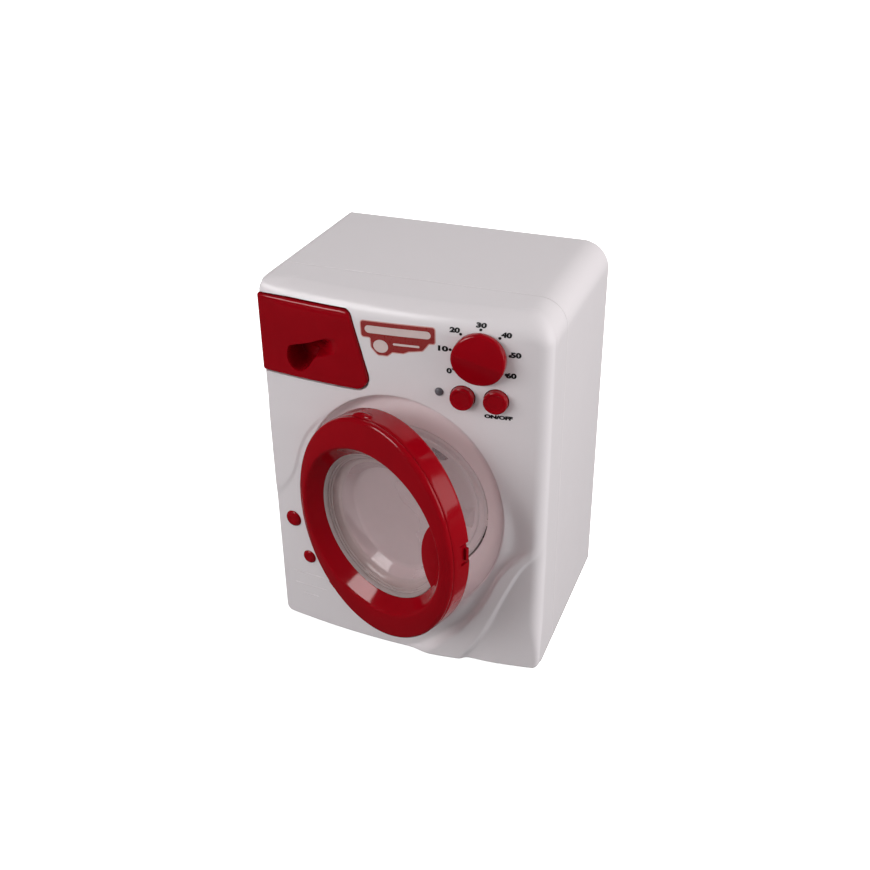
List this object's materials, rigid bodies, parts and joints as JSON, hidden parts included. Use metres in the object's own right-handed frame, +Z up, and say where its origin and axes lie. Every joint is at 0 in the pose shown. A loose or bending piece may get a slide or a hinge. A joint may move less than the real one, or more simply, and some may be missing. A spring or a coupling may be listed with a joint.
{
  "type": "toy washing machine",
  "caption": "Toy front-loading washing machine with a hinged round window door ajar, a turning drum, a dial, push buttons and a detergent drawer.",
  "frame": {"origin": "on the surface it stands on, under the middle of the case (halfway between the front corners and the back, and between the two sides)", "axes": "+Z up, -Y towards the front with the door, +X to the right as seen from the front"},
  "size_m": [0.164, 0.1716, 0.22],
  "materials": {
    "white_plastic": "glossy moulded white",
    "red_plastic": "glossy moulded deep red",
    "grey_plastic": "satin moulded light grey",
    "guide_plastic": "plain moulded off-white",
    "timer_plastic": "plain moulded grey",
    "switch_plastic": "black moulded",
    "box_plastic": "black moulded",
    "gear_plastic": "natural acetal",
    "lamp_plastic": "smoky lens",
    "clear_window": "clear blown plastic",
    "screw_steel": "zinc plated",
    "pin_steel": "ground",
    "spring_steel": "nickel plated",
    "motor_steel": "drawn can",
    "bush_bronze": "sintered bronze",
    "pinion_brass": "cut brass",
    "board_laminate": "green laminate",
    "cell_wrap": "plain dark wrap",
    "speaker_cone": "black paper cone in a dark frame"
  },
  "bodies": {
    "case": {"front_shell": "white_plastic", "rear_housing": "white_plastic", "case_screws": "screw_steel", "drum_bezel": "grey_plastic", "hinge_bracket": "white_plastic", "hinge_pin": "pin_steel", "upper_cap": "red_plastic", "lower_cap": "red_plastic", "drawer_guide": "guide_plastic", "timer_case": "timer_plastic", "timer_screws": "screw_steel", "click_spring": "spring_steel", "control_board": "board_laminate", "board_screws": "screw_steel", "mode_switch": "switch_plastic", "power_switch": "switch_plastic", "signal_led": "lamp_plastic", "bearing_plate": "guide_plastic", "plate_screws": "screw_steel", "axle_bush": "bush_bronze", "motor_can": "motor_steel", "motor_screws": "screw_steel", "battery_box": "box_plastic", "battery_cover": "white_plastic", "cover_screw": "screw_steel", "contact_springs": "spring_steel", "contact_plates": "spring_steel", "cell_1": "cell_wrap", "cell_2": "cell_wrap", "cell_3": "cell_wrap", "speaker": "speaker_cone", "speaker_clamp": "timer_plastic", "speaker_screws": "screw_steel"},
    "door": {"door_front_ring": "red_plastic", "door_back_ring": "red_plastic", "door_window": "clear_window", "door_latch": "red_plastic"},
    "drum": {"drum": "grey_plastic", "drum_gear": "gear_plastic", "drum_axle": "pin_steel", "axle_clip": "spring_steel"},
    "rotor": {"motor_shaft": "pin_steel", "motor_pinion": "pinion_brass"},
    "timer": {"timer_knob": "red_plastic", "timer_shaft": "timer_plastic", "click_wheel": "gear_plastic"},
    "mode_button": {"mode_button": "red_plastic", "mode_plunger": "switch_plastic"},
    "power_button": {"power_button": "red_plastic", "power_plunger": "switch_plastic"},
    "drawer": {"drawer_front": "red_plastic", "drawer_tray": "red_plastic"}
  },
  "joints": [
    {"name": "door_hinge", "type": "hinge", "parent": "case", "child": "door", "pos_m": [-0.0517, -0.0689, 0.098], "axis": [0, 0, -1], "range_deg": [-20.2, 80]},
    {"name": "drum_spin", "type": "hinge", "parent": "case", "child": "drum", "pos_m": [0, 0.0036, 0.098], "axis": [0, 1, 0], "continuous": true},
    {"name": "rotor_spin", "type": "hinge", "parent": "case", "child": "rotor", "pos_m": [0, 0.0086, 0.1294], "axis": [0, 1, 0], "continuous": true},
    {"name": "timer_turn", "type": "hinge", "parent": "case", "child": "timer", "pos_m": [0.0455, -0.06411, 0.197], "axis": [-0.1006, 0.9949, 0], "range_deg": [-39.7, 198.5]},
    {"name": "mode_press", "type": "slide", "parent": "case", "child": "mode_button", "axis": [-0.1006, 0.9949, 0], "range_m": [0, 0.0015], "stiffness_N_per_m": 600, "springref_m": -0.0008},
    {"name": "power_press", "type": "slide", "parent": "case", "child": "power_button", "axis": [-0.1006, 0.9949, 0], "range_m": [0, 0.0015], "stiffness_N_per_m": 600, "springref_m": -0.0008},
    {"name": "drawer_slide", "type": "slide", "parent": "case", "child": "drawer", "axis": [0, -1, 0], "range_m": [0, 0.03]}
  ],
  "couplings": [
    {"joint": "rotor_spin", "follows": "drum_spin", "ratio": -4}
  ]
}
